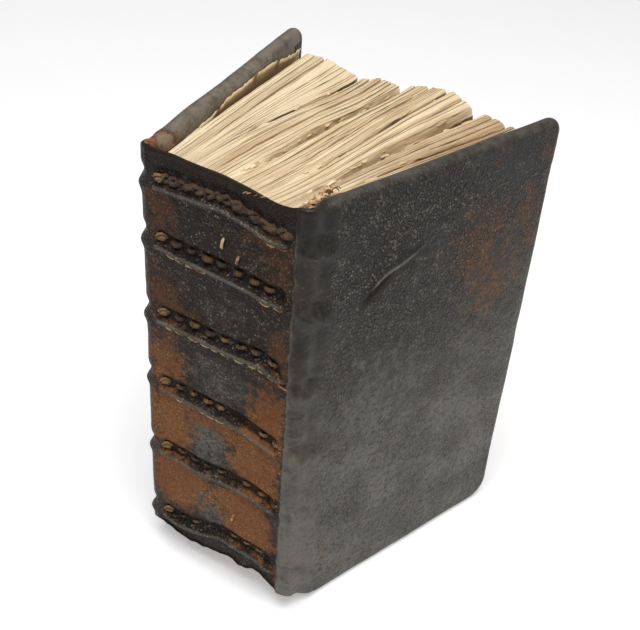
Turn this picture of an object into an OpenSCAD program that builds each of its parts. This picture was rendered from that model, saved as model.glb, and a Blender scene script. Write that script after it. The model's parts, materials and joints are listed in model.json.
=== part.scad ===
// Thick old leather-bound hymnal that stands on its tail, wedge-shaped, with its leaves fanned.
// One hide wraps the spine and both boards. It is parted at the two joints, where the covers swing.
// Frame: +Z up, spine towards -Y, front cover towards +X, origin under the middle of the box.

/* [Covers] */
// Height of each cover, from its tail edge to its head edge
cover_h = 150; // [130:1:170]
// Width of each cover, from the corner of the spine to the fore-edge
cover_w = 91; // [80:1:105]
// Thickness of the board inside each cover
board_t = 3.2; // [2.6:0.1:4.4]
// Rounding along the edges of a cover
edge_r = 1.8; // [1.2:0.1:2.1]
// Radius of a cover's corner at head and fore-edge
head_corner_r = 4; // [2.5:0.5:8]
// Radius of a cover's worn corner at tail and fore-edge
tail_corner_r = 8; // [4:0.5:12]
// Radius of a cover's worn corner at tail and joint
joint_corner_r = 7; // [4:0.5:9]
// Angle of the front cover away from square to the spine, in degrees
front_splay_deg = 17.5; // [13:0.5:21]
// Angle of the back cover away from square to the spine, in degrees
back_splay_deg = 9; // [7:0.5:14]

/* [Leather and paper] */
// Thickness of the leather on the covers
leather_t = 0.9; // [0.7:0.05:1.1]
// Thickness of the leather and its lining on the spine
spine_leather_t = 1.3; // [1.2:0.05:1.6]
// Width of the leather that shows, turned in over a board's inner face
turn_in_w = 4; // [3:0.5:12]
// Thickness of the paper pasted inside each cover
pastedown_t = 0.35; // [0.2:0.05:0.6]

/* [Spine] */
// Width of the spine between the corners of the two covers
spine_w = 54; // [46:1:64]
// Radius of the leather round each shoulder of the spine
shoulder_r = 4.5; // [3.8:0.1:5.2]
// Distance from the corner of the spine to the joint that a cover swings on
joint_s = 5.6; // [5.2:0.1:7]
// Drop of the spine's head edge below the heads of the covers
spine_head_drop = 0.4; // [0:0.1:2]
// Rise of the spine's tail edge above the tails of the covers
spine_tail_rise = 7; // [3:0.5:9]
// Depth that wear has eaten into the spine's head edge
head_wear = 1.8; // [0.4:0.1:3]
// Depth that wear has eaten into the spine's tail edge
tail_wear = 3.6; // [0.4:0.1:5]

/* [Bands] */
// Height of the lowest raised band above the tail
tail_band_z = 17; // [15:0.5:20]
// Drop of the highest raised band below the head
head_band_drop = 11; // [10:0.5:18]
// Radius of a raised band
band_r = 1.7; // [1.5:0.05:2]
// Height that a raised band stands out of the spine
band_rise = 1.2; // [0.8:0.1:1.4]
// Diameter of the cord inside a band
cord_d = 1.8; // [1.4:0.1:2]
// Depth of the groove pressed in above each band
groove_depth = 0.8; // [0.3:0.1:0.9]
// Radius of the tool that pressed the groove
groove_r = 2; // [1.6:0.1:2.4]
// Distance of the groove's middle above its band
groove_up = 3.6; // [3.5:0.1:4]

/* [Stitches] */
// Length of one stitch
stitch_l = 3.2; // [2:0.1:3.8]
// Diameter of a stitch at its middle
stitch_d = 1.2; // [0.8:0.1:1.4]
// Spacing of the stitches along a row
stitch_pitch = 5.2; // [4.4:0.1:6]
// Distance of a row of stitches above its band
stitch_up = 5.2; // [4.8:0.1:6]
// Diameter of the knot at the back end of a row
knot_d = 2; // [1.4:0.1:2.2]

/* [Slips] */
// Length of a cord's frayed-out end on the board, measured from the joint
slip_l = 8; // [7:0.5:14]
// Width of a frayed-out end at the joint
slip_w = 4; // [3:0.1:5]
// Width of a frayed-out end at its tip
slip_tip_w = 2.4; // [1.6:0.1:3]
// Thickness of a frayed-out end, let into the board
slip_t = 0.8; // [0.4:0.1:1.2]
// Radius of the swelling in the leather over a frayed-out end
swell_r = 2.2; // [1.6:0.1:2.4]
// Height of that swelling above the cover
swell_rise = 0.6; // [0.3:0.1:0.8]

/* [Dent] */
// Depth of the slanting dent in the front cover
dent_depth = 0.45; // [0.1:0.05:0.6]
// Radius of the dent's hollow
dent_r = 7; // [3:0.5:12]

/* [Text block] */
// Distance from the head of the leaves up to the heads of the covers
head_square = 5; // [4.4:0.1:8]
// Distance from the tails of the covers up to the tail of the leaves
tail_square = 6; // [3:0.1:8]
// Distance that the leaves stop short of the covers at the fore-edge
fore_square = 4.6; // [2:0.1:6]
// Angle between the front cover and the leaves next to it, in degrees
front_slack_deg = 1.5; // [1:0.5:4]
// Angle between the back cover and the leaves next to it, in degrees
back_slack_deg = 2.5; // [2.5:0.5:6]
// Number of folded gatherings sewn into the block
gathering_count = 24; // [16:1:30]
// Unevenness of the gatherings at the head
head_rough = 0.7; // [0:0.1:1]
// Height that the swollen clump of leaves rises at head and fore-edge
head_lift = 1.8; // [0:0.1:2.2]
// Unevenness of the gatherings at the tail
tail_rough = 0.7; // [0:0.1:1.2]
// Unevenness of the gatherings at the fore-edge
fore_rough = 1.2; // [0:0.1:1.4]
// Depth of the furrow between two gatherings
furrow_depth = 1.4; // [0.2:0.1:2.5]
// Depth of the wide openings where the block has parted into clumps
parting_depth = 6; // [3:0.5:9]
// Sideways swing of the cockled leaves
cockle = 1.4; // [0:0.1:1.8]

/* [Hidden] */
$fn = 32;
overrun = 2;
// Room for glue between a board and its leather, and round the pieces let into another
glue_gap = 0.05;
// Half of the slot where the hide is parted at a joint
joint_gap = 0.25;
// Room between the spine's lining and the folds of the leaves
block_gap = 0.3;
// Room between the shoulder of the block and the edge of a board
shoulder_gap = 0.5;
// Room between a cover and the first leaf at the joint
flank_gap = 0.35;
// Room between a pastedown and the turned-in leather
paste_gap = 0.1;
// Distance of the knot from the end of the flat spine, and of the first stitch from the knot
knot_inset = 3.8;
knot_pitch = 4.4;
// Distance kept free at the front end of a row
row_inset = 2.2;
// Depth of the middle of a stitch and of a knot under the face of the spine
stitch_sink = 0.1;
knot_sink = 0.05;
// Slant of the stitches
stitch_slant_deg = 9;
// Where the swelling over a slip starts, measured from the joint
swell_from = 0.9;
// Heights of the six bands as shares of the run from the lowest to the highest
band_shares = [0, 0.219, 0.428, 0.641, 0.842, 1];
// Slant of each band, rising towards the front cover
band_slants_deg = [4.3, 0.8, -2.2, 0, -1.8, -2.4];
// Ends of the dent as shares of the cover's width and height
dent_shares = [[0.235, 0.762], [0.454, 0.825]];
// Half width of a furrow as a share of a gathering
furrow_share = 0.14;
// Wide openings: place as a share of the block's thickness from the back, and share of the full depth
parting_shares = [[0.085, 0.4], [0.25, 0.6], [0.46, 1], [0.58, 0.4], [0.66, 0.5], [0.79, 0.9]];
// Rise of the heads at the fore-edge by place across the block, as shares of the swollen clump's lift
rise_shares = [
    [0, -0.4], [0.1, -0.5], [0.24, -1.6], [0.36, -0.8], [0.46, -0.8],
    [0.58, 0.8], [0.68, 1], [0.76, -0.4], [0.88, -1.2], [1, -1.4]
];
// How much of a band's rise is lost on its way over a shoulder
run_out_share = 0.4;
// Points along a rounded shoulder, along the block's own shoulder, its flank and a worn edge
arc_steps = 8;
block_arc_steps = 2;
flank_rows = 8;
wear_steps = 40;

cover_t = board_t + 2 * leather_t;
cover_reach = cover_w - joint_s;
cord_r = cord_d / 2;
band_y = band_r - band_rise;
head_band_z = cover_h - head_band_drop;
band_zs = [for (share = band_shares) tail_band_z + share * (head_band_z - tail_band_z)];
flat_front = shoulder_centre(front_splay_deg)[0];
flat_back = shoulder_centre(back_splay_deg)[0];
bands = [0:len(band_shares) - 1];
front_slip_zs = [for (n = bands) band_zs[n] + flat_front * tan(band_slants_deg[n])];
back_slip_zs = [for (n = bands) band_zs[n] - flat_back * tan(band_slants_deg[n])];
knot_x = knot_inset - flat_back;
first_stitch_x = knot_x + knot_pitch;
stitch_count = floor((flat_front - row_inset - first_stitch_x) / stitch_pitch) + 1;
fore_y = max(cover_end_y(front_splay_deg), cover_end_y(back_splay_deg));
mid_x = (cover_end_x(front_splay_deg) - cover_end_x(back_splay_deg)) / 2;
mid_y = (fore_y - band_rise) / 2;

// The section across the spine, seen from the head. The corner of a cover is at half the spine's width.
function cover_along(deg) = [sin(deg), cos(deg)];
function cover_out(deg) = [cos(deg), -sin(deg)];
function cover_point(deg, s, depth) = [spine_w / 2, 0] + s * cover_along(deg) - depth * cover_out(deg);
function shoulder_run(deg) = shoulder_r * (1 - sin(deg)) / cos(deg);
function shoulder_centre(deg) = [spine_w / 2 - shoulder_run(deg), shoulder_r];
function shoulder_arc(deg, depth, steps) = [
    for (k = [0:steps])
        let (turn = (90 - deg) * k / steps - 90)
        shoulder_centre(deg) + (shoulder_r - depth) * [cos(turn), sin(turn)]
];

// How far the rounded fore-edge of a cover reaches
function cover_end_x(deg) =
    cover_point(deg, cover_w - edge_r, edge_r)[0] + edge_r;
function cover_end_y(deg) =
    cover_point(deg, cover_w - edge_r, cover_t - edge_r)[1] + edge_r;

function mirrored(path) = [for (p = path) [-p[0], p[1]]];
function reversed(path) = [for (k = [len(path) - 1:-1:0]) path[k]];

// The path of the spine leather at one depth under its face, from the back joint round to the front joint
function spine_half(deg, depth) = concat(
    shoulder_arc(deg, depth, arc_steps),
    [cover_point(deg, joint_s - joint_gap, depth)]
);
function spine_path(depth) = concat(
    reversed(mirrored(spine_half(back_splay_deg, depth))),
    spine_half(front_splay_deg, depth)
);

// Worn edges of the spine: slow and quick waves over the width, as shares of the wear
function head_wear_share(t) = 0.45 + 0.4 * sin(560 * t - 80) + 0.15 * sin(1300 * t);
function tail_wear_share(t) = 0.5 + 0.35 * sin(330 * t - 30) + 0.15 * sin(1500 * t + 40);
function head_edge(x) = cover_h - spine_head_drop - head_wear * head_wear_share(x / spine_w);
function tail_edge(x) = spine_tail_rise + tail_wear * tail_wear_share(x / spine_w);

// The block's own outline beside one cover: round the shoulder, in behind the board, along the flank
function block_side(deg, slack) =
    let (
        lining = spine_leather_t + block_gap,
        step_s = joint_s - shoulder_gap,
        start = cover_point(deg, step_s, cover_t + flank_gap),
        run = (fore_y - fore_square - start[1]) / cos(deg - slack)
    )
    concat(
        shoulder_arc(deg, lining, block_arc_steps),
        [cover_point(deg, step_s, lining)],
        [for (k = [0:flank_rows]) start + run * k / flank_rows * cover_along(deg - slack)]
    );

// An uneven value between -1 and 1 for one gathering
function uneven(n, kind) = (sin(151 * n + 67 * kind) + 0.6 * sin(83 * n + 29 * kind)) / 1.6;

// Depth of the furrow beyond a gathering, deeper where the block has parted
function furrow(n) = max([
    furrow_depth * (1 + 0.4 * uneven(n, 5)),
    for (p = parting_shares) if (round(p[0] * gathering_count) == n + 1) p[1] * parting_depth
]);

function leaf_head(n, v) =
    v * head_rough * uneven(n, 1) + v * v * head_lift * lookup((n + 0.5) / gathering_count, rise_shares);
function leaf_tail(n, v) = v * tail_rough * uneven(n, 3);
function leaf_fore(n, v) = pow(v, 4) * fore_rough * uneven(n, 4);

// A straight round bar with round ends, standing on its lower end
module capsule(r, l) {
    rotate_extrude()
        intersection() {
            union() {
                translate([0, r])
                    circle(r);
                translate([0, l - r])
                    circle(r);
                translate([0, r])
                    square([r, l - 2 * r]);
            }
            square([r, l]);
        }
}

// A gathering is three columns of the grid: its two edges and the furrow beyond it
module text_block() {
    front = block_side(front_splay_deg, front_slack_deg);
    back = mirrored(block_side(back_splay_deg, back_slack_deg));
    rows = len(front);
    columns = 3 * gathering_count - 1;
    last = gathering_count - 1;
    first_flank_row = rows - 1 - flank_rows;

    function depth_share(j) = max(0, (j - first_flank_row) / flank_rows);
    function across(n, kind) =
        kind == 0 ? (n == 0 ? 0 : (n + furrow_share) / gathering_count)
        : kind == 1 ? (n == last ? 1 : (n + 1 - furrow_share) / gathering_count)
        : (n + 1) / gathering_count;
    function place(n, kind, j) =
        let (
            u = across(n, kind),
            v = depth_share(j),
            swing = cockle * 4 * u * (1 - u) * v * sin(500 * v + 220 * u),
            cut = kind == 2 && j == rows - 1 ? furrow(n) : 0
        )
        (1 - u) * back[j] + u * front[j] + [swing, leaf_fore(n, v) - cut];
    function head_z(n, kind, j) =
        let (v = depth_share(j))
        cover_h - head_square + (
            kind == 2
            ? min(leaf_head(n, v), leaf_head(n + 1, v)) - furrow(n) * min(1, 3 * v)
            : leaf_head(n, v)
        );
    function tail_z(n, kind, j) =
        let (v = depth_share(j))
        tail_square + (
            kind == 2
            ? max(leaf_tail(n, v), leaf_tail(n + 1, v)) + furrow_depth * min(1, 3 * v)
            : leaf_tail(n, v)
        );

    grid = [for (c = [0:columns - 1], j = [0:rows - 1]) [floor(c / 3), c % 3, j]];
    heads = [for (g = grid) concat(place(g[0], g[1], g[2]), head_z(g[0], g[1], g[2]))];
    tails = [for (g = grid) concat(place(g[0], g[1], g[2]), tail_z(g[0], g[1], g[2]))];

    function top(c, j) = c * rows + j;
    function low(c, j) = len(grid) + top(c, j);
    function wall(a, b, under_a, under_b) = [[a, b, under_b], [a, under_b, under_a]];
    faces = concat(
        [for (c = [0:columns - 2], j = [0:rows - 2]) each [
            [top(c, j), top(c, j + 1), top(c + 1, j + 1)],
            [top(c, j), top(c + 1, j + 1), top(c + 1, j)],
            [low(c, j), low(c + 1, j + 1), low(c, j + 1)],
            [low(c, j), low(c + 1, j), low(c + 1, j + 1)]
        ]],
        [for (c = [0:columns - 2]) each concat(
            wall(top(c, 0), top(c + 1, 0), low(c, 0), low(c + 1, 0)),
            wall(top(c + 1, rows - 1), top(c, rows - 1), low(c + 1, rows - 1), low(c, rows - 1))
        )],
        [for (j = [0:rows - 2]) each concat(
            wall(top(0, j + 1), top(0, j), low(0, j + 1), low(0, j)),
            wall(top(columns - 1, j), top(columns - 1, j + 1), low(columns - 1, j), low(columns - 1, j + 1))
        )]
    );

    color("#cdbf9f")
        in_frame()
            polyhedron(concat(heads, tails), faces);
}

// Frame of one band: its middle at the origin, +X along it towards the front cover
module along_band(n) {
    translate([0, 0, band_zs[n]])
        rotate([0, -band_slants_deg[n], 0])
            children();
}

// Leather over one cord: straight across the spine, then lower over each shoulder
module band() {
    translate([-band_end(back_splay_deg), band_y, 0])
        rotate([0, 90, 0])
            cylinder(r = band_r, h = band_end(back_splay_deg) + band_end(front_splay_deg));
    band_bend(front_splay_deg);
    mirror([1, 0, 0])
        band_bend(back_splay_deg);
}

function band_end(deg) = shoulder_centre(deg)[0] - run_out_share * band_rise / cos(deg);

module band_bend(deg) {
    translate([band_end(deg), shoulder_r, 0])
        rotate([0, 0, -90])
            rotate_extrude(angle = 90 - deg)
                translate([shoulder_r - band_y, 0])
                    circle(band_r);
}

// A bar across the spine at one depth under its face and one height over the band's middle
module spine_bar(r, depth, up) {
    translate([-flat_back, depth, up])
        rotate([0, 90, 0])
            capsule(r, flat_back + flat_front);
}

module stitch_row(extra) {
    translate([knot_x, knot_sink, stitch_up])
        sphere(knot_d / 2 + extra);
    for (k = [0:stitch_count - 1])
        translate([first_stitch_x + k * stitch_pitch, stitch_sink, stitch_up])
            rotate([0, 90 - stitch_slant_deg, 0])
                translate([0, 0, -stitch_l / 2 - extra])
                    capsule(stitch_d / 2 + extra, stitch_l + 2 * extra);
}

module spine_blank() {
    reach = spine_w / 2 + joint_s;
    xs = [for (k = [0:wear_steps]) (2 * k / wear_steps - 1) * reach];
    translate([0, reach, 0])
        rotate([90, 0, 0])
            linear_extrude(reach + overrun)
                polygon(concat(
                    [for (x = xs) [x, head_edge(x)]],
                    reversed([for (x = xs) [x, tail_edge(x)]])
                ));
}

module spine_leather() {
    inside = spine_path(spine_leather_t);
    ends = [inside[0], inside[len(inside) - 1]];
    color("#4a3a2e")
        in_frame()
            difference() {
                union() {
                    intersection() {
                        linear_extrude(cover_h)
                            polygon(concat([ends[0]], spine_path(0), [ends[1]]));
                        spine_blank();
                    }
                    for (n = bands)
                        along_band(n)
                            band();
                }
                translate([0, 0, -overrun])
                    linear_extrude(cover_h + 2 * overrun)
                        polygon(concat([ends[0] + [0, overrun]], inside, [ends[1] + [0, overrun]]));
                for (n = bands)
                    along_band(n) {
                        spine_bar(groove_r, groove_depth - groove_r, groove_up);
                        spine_bar(cord_r + glue_gap, band_y, 0);
                        stitch_row(glue_gap);
                    }
            }
}

module band_cord(n) {
    color("#7d6a4f")
        in_frame()
            along_band(n)
                spine_bar(cord_r, band_y, 0);
}

module stitches(n) {
    color("#a08a63")
        in_frame()
            along_band(n)
                stitch_row(0);
}

// Local frame of a cover: the joint at the origin, the board along +Y, its outer face at x = 0
module at_front() {
    in_frame()
        translate(cover_point(front_splay_deg, joint_s, 0))
            rotate([0, 0, -front_splay_deg])
                children();
}

module at_back() {
    in_frame()
        mirror([1, 0, 0])
            translate(cover_point(back_splay_deg, joint_s, 0))
                rotate([0, 0, -back_splay_deg])
                    children();
}

module in_frame() {
    translate([-mid_x, -mid_y, 0])
        children();
}

// A flat layer of a cover, from one depth under the outer face, drawn along the cover and up
module layer(depth, thickness) {
    translate([-depth - thickness, 0, 0])
        rotate([90, 0, 90])
            linear_extrude(thickness)
                children();
}

module cover_outline(inset) {
    difference() {
        translate([joint_gap, inset])
            square([cover_reach - inset - joint_gap, cover_h - 2 * inset]);
        translate([cover_reach - head_corner_r, cover_h - head_corner_r])
            corner_cut(head_corner_r - inset);
        translate([cover_reach - tail_corner_r, tail_corner_r])
            mirror([0, 1])
                corner_cut(tail_corner_r - inset);
        translate([joint_gap + joint_corner_r, joint_corner_r])
            rotate(180)
                corner_cut(joint_corner_r - inset);
    }
}

module corner_cut(r) {
    difference() {
        square(r + overrun);
        circle(r);
    }
}

// One rounded rim of a cover's corner, on the outer or the inner edge
module rim(r) {
    rotate([0, 90, 0])
        rotate_extrude()
            intersection() {
                translate([r - edge_r, 0])
                    circle(edge_r);
                translate([0, -edge_r])
                    square([r, 2 * edge_r]);
            }
}

module cover_form() {
    hull()
        for (depth = [edge_r, cover_t - edge_r]) {
            translate([-depth, cover_reach - head_corner_r, cover_h - head_corner_r])
                rim(head_corner_r);
            translate([-depth, cover_reach - tail_corner_r, tail_corner_r])
                rim(tail_corner_r);
            translate([-depth, joint_gap + joint_corner_r, joint_corner_r])
                rim(joint_corner_r);
            translate([-depth, joint_gap + edge_r, cover_h - edge_r])
                sphere(edge_r);
        }
}

function slip_outline(z, extra) = [
    [joint_gap - extra, z - slip_w / 2 - extra],
    [slip_l + extra, z - slip_tip_w / 2 - extra],
    [slip_l + extra, z + slip_tip_w / 2 + extra],
    [joint_gap - extra, z + slip_w / 2 + extra]
];

module cover_leather(slip_zs) {
    room = leather_t - glue_gap;
    difference() {
        union() {
            cover_form();
            for (z = slip_zs)
                translate([swell_rise - swell_r, swell_from, z])
                    rotate([-90, 0, 0])
                        capsule(swell_r, slip_l - swell_from);
        }
        layer(room, board_t + 2 * glue_gap) {
            cover_outline(room);
            translate([-overrun, joint_corner_r])
                square([overrun + joint_gap + edge_r, cover_h - room - joint_corner_r]);
        }
        layer(leather_t + board_t, leather_t + overrun)
            translate([-overrun, turn_in_w])
                square([overrun + cover_reach - turn_in_w, cover_h - 2 * turn_in_w]);
    }
}

// The slanting dent that something left in the front cover
module dent() {
    ends = [for (share = dent_shares) [share[0] * cover_w - joint_s, share[1] * cover_h]];
    run = ends[1] - ends[0];
    translate([dent_r - dent_depth, ends[0][0], ends[0][1]])
        rotate([atan2(run[1], run[0]) - 90, 0, 0])
            capsule(dent_r, norm(run));
}

module board(slip_zs) {
    difference() {
        layer(leather_t, board_t)
            cover_outline(leather_t);
        for (z = slip_zs)
            layer(leather_t - overrun, overrun + slip_t + glue_gap)
                polygon(slip_outline(z, glue_gap));
    }
}

module slips(slip_zs) {
    for (z = slip_zs)
        layer(leather_t, slip_t)
            polygon(slip_outline(z, 0));
}

module pastedown() {
    layer(leather_t + board_t, pastedown_t)
        intersection() {
            cover_outline(leather_t);
            translate([joint_gap, turn_in_w + paste_gap])
                square([cover_reach - turn_in_w - paste_gap - joint_gap, cover_h - 2 * (turn_in_w + paste_gap)]);
        }
}

module front_board() {
    color("#8a7a62") at_front() board(front_slip_zs);
}

module front_slips() {
    color("#7d6a4f") at_front() slips(front_slip_zs);
}

module front_leather() {
    color("#3c3a38")
        at_front()
            difference() {
                cover_leather(front_slip_zs);
                dent();
            }
}

module front_pastedown() {
    color("#b9a47c") at_front() pastedown();
}

module back_board() {
    color("#8a7a62") at_back() board(back_slip_zs);
}

module back_slips() {
    color("#7d6a4f") at_back() slips(back_slip_zs);
}

module back_leather() {
    color("#3c3a38") at_back() cover_leather(back_slip_zs);
}

module back_pastedown() {
    color("#b9a47c") at_back() pastedown();
}

text_block();
spine_leather();
for (n = bands) {
    band_cord(n);
    stitches(n);
}
front_board();
front_slips();
front_leather();
front_pastedown();
back_board();
back_slips();
back_leather();
back_pastedown();
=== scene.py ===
import json
import math
import random

import bmesh
import bpy
from mathutils import Matrix, Vector, noise


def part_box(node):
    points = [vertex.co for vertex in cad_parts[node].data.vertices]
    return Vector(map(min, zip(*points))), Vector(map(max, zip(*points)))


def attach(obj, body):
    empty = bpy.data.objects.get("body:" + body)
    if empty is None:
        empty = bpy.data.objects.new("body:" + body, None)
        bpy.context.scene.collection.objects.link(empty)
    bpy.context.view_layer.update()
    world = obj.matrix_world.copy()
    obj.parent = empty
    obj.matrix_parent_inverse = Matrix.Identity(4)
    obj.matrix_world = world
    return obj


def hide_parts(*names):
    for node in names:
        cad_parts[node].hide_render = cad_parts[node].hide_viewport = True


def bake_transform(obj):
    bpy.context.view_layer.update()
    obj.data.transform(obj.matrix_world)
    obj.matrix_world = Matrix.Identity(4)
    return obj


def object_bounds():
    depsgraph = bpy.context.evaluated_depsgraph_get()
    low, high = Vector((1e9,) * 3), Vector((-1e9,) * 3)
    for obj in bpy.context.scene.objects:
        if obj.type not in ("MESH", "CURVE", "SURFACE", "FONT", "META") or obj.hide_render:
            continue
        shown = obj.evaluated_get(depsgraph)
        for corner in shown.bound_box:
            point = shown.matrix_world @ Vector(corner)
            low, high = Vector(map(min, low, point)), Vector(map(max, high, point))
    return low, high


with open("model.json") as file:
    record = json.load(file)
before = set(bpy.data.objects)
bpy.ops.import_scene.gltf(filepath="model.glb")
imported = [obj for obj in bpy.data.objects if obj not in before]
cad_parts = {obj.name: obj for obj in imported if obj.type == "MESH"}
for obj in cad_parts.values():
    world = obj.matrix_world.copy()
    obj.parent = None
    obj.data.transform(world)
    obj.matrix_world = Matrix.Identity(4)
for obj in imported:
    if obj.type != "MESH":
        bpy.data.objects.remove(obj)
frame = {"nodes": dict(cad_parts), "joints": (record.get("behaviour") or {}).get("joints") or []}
cad_low, cad_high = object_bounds()

# Camera: the book was photographed from above its front joint, so that the spine and the
# front cover both show, with a longish lens held a few degrees off level.
CAMERA_PLACE = Vector((0.13842, -0.23311, 0.28961))
CAMERA_AZIMUTH = math.radians(30.96)
CAMERA_ELEVATION = math.radians(37.36)
CAMERA_ROLL = math.radians(4.54)

camera_data = bpy.data.cameras.new("camera")
camera_data.lens = 62.44
camera_data.sensor_width = 36.0
camera_data.clip_start = 0.01
camera = bpy.data.objects.new("camera", camera_data)
camera.matrix_world = (
    Matrix.Translation(CAMERA_PLACE)
    @ Matrix.Rotation(CAMERA_AZIMUTH, 4, "Z")
    @ Matrix.Rotation(math.pi / 2 - CAMERA_ELEVATION, 4, "X")
    @ Matrix.Rotation(CAMERA_ROLL, 4, "Z")
)
bpy.context.scene.collection.objects.link(camera)
bpy.context.scene.camera = camera
bpy.context.scene.view_settings.view_transform = "Standard"

# Leaves: two dozen folded gatherings of rag paper, sewn through their folds onto cords.
# Damp has swollen and cockled them, so the block is a wedge that has parted into clumps
# with ragged, browned edges, its highest part near the fore-edge.
MM = 0.001
FRONT, BACK = 1, -1
SPLAY = {FRONT: math.radians(17.5), BACK: math.radians(9)}
FLANK_SLACK = {FRONT: math.radians(1.5), BACK: math.radians(2.5)}
COVER_T = 5.0 * MM
FLANK_GAP = 0.35 * MM
SHOULDER_GAP = 0.5 * MM
LEAF_FOOT = 6.0 * MM
LEAF_HEAD = 145.0 * MM
BUNDLE_SHARE = 1 / 34
DEPTH_STEPS = 48
HEIGHT_STEPS = 7
THICK_STEPS = 4
CRUMBS_PER_MM = 10
CRUMB_DROP = 0.3 * MM

# Rise of the heads at the fore-edge, in millimetres, by share of the block from back to front
FORE_RISE = (
    (0.00, -1.6), (0.09, -1.2), (0.17, -2.2), (0.25, -3.4), (0.34, -1.6), (0.44, -1.6),
    (0.52, 0.4), (0.58, 1.7), (0.68, 1.9), (0.75, -0.6), (0.85, -1.8), (0.94, -2.6), (1.00, -3.0),
)
# Openings between clumps: share at the spine, share at the fore-edge, then how far the heads
# beside it drop and lean apart, in millimetres, and over which share they do so
OPENINGS = (
    (0.050, 0.040, 0.0, 0.10, 0.006),
    (0.100, 0.085, 0.3, 0.30, 0.007),
    (0.150, 0.160, 0.1, 0.16, 0.006),
    (0.190, 0.245, 0.6, 0.38, 0.009),
    (0.250, 0.300, 0.2, 0.24, 0.006),
    (0.320, 0.350, 0.3, 0.26, 0.006),
    (0.380, 0.400, 0.0, 0.14, 0.006),
    (0.450, 0.455, 3.6, 0.95, 0.011),
    (0.520, 0.505, 0.2, 0.22, 0.006),
    (0.595, 0.565, 0.6, 0.36, 0.008),
    (0.650, 0.600, 0.0, 0.16, 0.006),
    (0.700, 0.645, 1.0, 0.45, 0.009),
    (0.765, 0.710, 0.2, 0.24, 0.006),
    (0.830, 0.775, 3.6, 1.10, 0.014),
    (0.880, 0.840, 0.2, 0.20, 0.006),
    (0.930, 0.900, 0.8, 0.40, 0.010),
)

JOINT = {
    FRONT: Vector(next(j["pos_m"] for j in frame["joints"] if j["name"] == "front_joint")),
    BACK: Vector(next(j["pos_m"] for j in frame["joints"] if j["name"] == "back_joint")),
}
block_low, block_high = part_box("text_block")
LEAF_FORE = block_high.y - 0.8 * MM


def along(side, angle):
    return Vector((side * math.sin(angle), math.cos(angle), 0))


def outward(side):
    return Vector((side * math.cos(SPLAY[side]), -math.sin(SPLAY[side]), 0))


def smooth_step(low, high, value):
    t = min(1, max(0, (value - low) / (high - low)))
    return t * t * (3 - 2 * t)


def curve_at(points, x):
    """Height of a smooth curve through given points."""
    if x <= points[0][0]:
        return points[0][1]
    for n in range(len(points) - 1):
        (x0, y0), (x1, y1) = points[n], points[n + 1]
        if x <= x1:
            before = points[max(0, n - 1)]
            after = points[min(len(points) - 1, n + 2)]
            slope0 = (y1 - before[1]) / (x1 - before[0])
            slope1 = (after[1] - y0) / (after[0] - x0)
            t, run = (x - x0) / (x1 - x0), x1 - x0
            return (
                (2 * t ** 3 - 3 * t ** 2 + 1) * y0 + (t ** 3 - 2 * t ** 2 + t) * run * slope0
                + (3 * t ** 2 - 2 * t ** 3) * y1 + (t ** 3 - t ** 2) * run * slope1
            )
    return points[-1][1]


def flank(side, v):
    angle = SPLAY[side] - FLANK_SLACK[side]
    start = JOINT[side] - along(side, SPLAY[side]) * SHOULDER_GAP - outward(side) * (COVER_T + FLANK_GAP)
    reach = (LEAF_FORE - start.y) / math.cos(angle)
    return start + along(side, angle) * reach * v


def leaf_share(w, v):
    """Share across the block at depth v of the leaf that meets the fore-edge at share w."""
    t = smooth_step(0.0, 0.75, v)
    knots = [(0.0, 0.0)] + [(o[1], o[0] + (o[1] - o[0]) * t) for o in OPENINGS] + [(1.0, 1.0)]
    for (w0, u0), (w1, u1) in zip(knots, knots[1:]):
        if w <= w1:
            return u0 + (u1 - u0) * (w - w0) / (w1 - w0)
    return 1.0


def leaf_head(w, v, jitter=0.0, bundle=0.0):
    open_v = smooth_step(0.0, 0.3, v)
    z = LEAF_HEAD + MM * curve_at(FORE_RISE, w) * smooth_step(0.25, 1.0, v)
    z += MM * (jitter + 0.10 * noise.noise(Vector((bundle * 3.7, v * 4.5, 0.0)))) * (0.35 + 0.65 * open_v)
    z += MM * 0.35 * noise.noise(Vector((w * 12, v * 2.6, 4.7)))
    z += MM * 0.10 * noise.noise(Vector((w * 120, v * 22, 1.3)))
    for _, fore, drop, _, reach in OPENINGS:
        crumbled = 1 + 0.7 * noise.noise(Vector((fore * 30, v * 16, w * 60)))
        z -= MM * drop * open_v * crumbled * math.exp(-((w - fore) / reach) ** 2)
    return z


def leaf_point(w, v, h, head):
    """Place of a point of a leaf, given its share, its depth, its share of height and its head."""
    u = leaf_share(w, v)
    v_in = max(0.0, v)
    place = flank(BACK, v).lerp(flank(FRONT, v), u)
    middle = 4 * u * (1 - u)
    place.x += MM * 0.5 * middle * v_in * math.sin(7.7 * v + 3.8 * u)
    place.x += MM * 0.45 * middle * noise.noise(Vector((w * 6, v * 4.3, h * 1.4)))
    hollow = 6.5 * MM * (1 - smooth_step(0.0, 0.14, v))
    foot = LEAF_FOOT + hollow + MM * 0.5 * noise.noise(Vector((w * 43, v * 2.7, 9.1)))
    place.z = foot + (head - foot) * h
    near_head = math.exp(-(head - place.z) / (9 * MM))
    for _, fore, _, lean, reach in OPENINGS:
        away = (w - fore) / (1.6 * reach)
        push = math.copysign(math.exp(-abs(away)), away)
        ragged = 1 + 0.9 * noise.noise(Vector((fore * 50, v * 7, 2.2)))
        place.x += MM * lean * push * near_head * ragged * smooth_step(0.05, 0.45, v)
    return place


def bundle_shares(rng):
    """Edges of the bundles of leaves, as shares at the fore-edge, none across an opening."""
    stops = [0.0] + [o[1] for o in OPENINGS] + [1.0]
    for low, high in zip(stops, stops[1:]):
        widths = [rng.uniform(0.5, 1.6) for _ in range(max(2, round((high - low) / BUNDLE_SHARE)))]
        at = low
        for width in widths:
            step = (high - low) * width / sum(widths)
            yield at, at + step
            at += step


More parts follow.
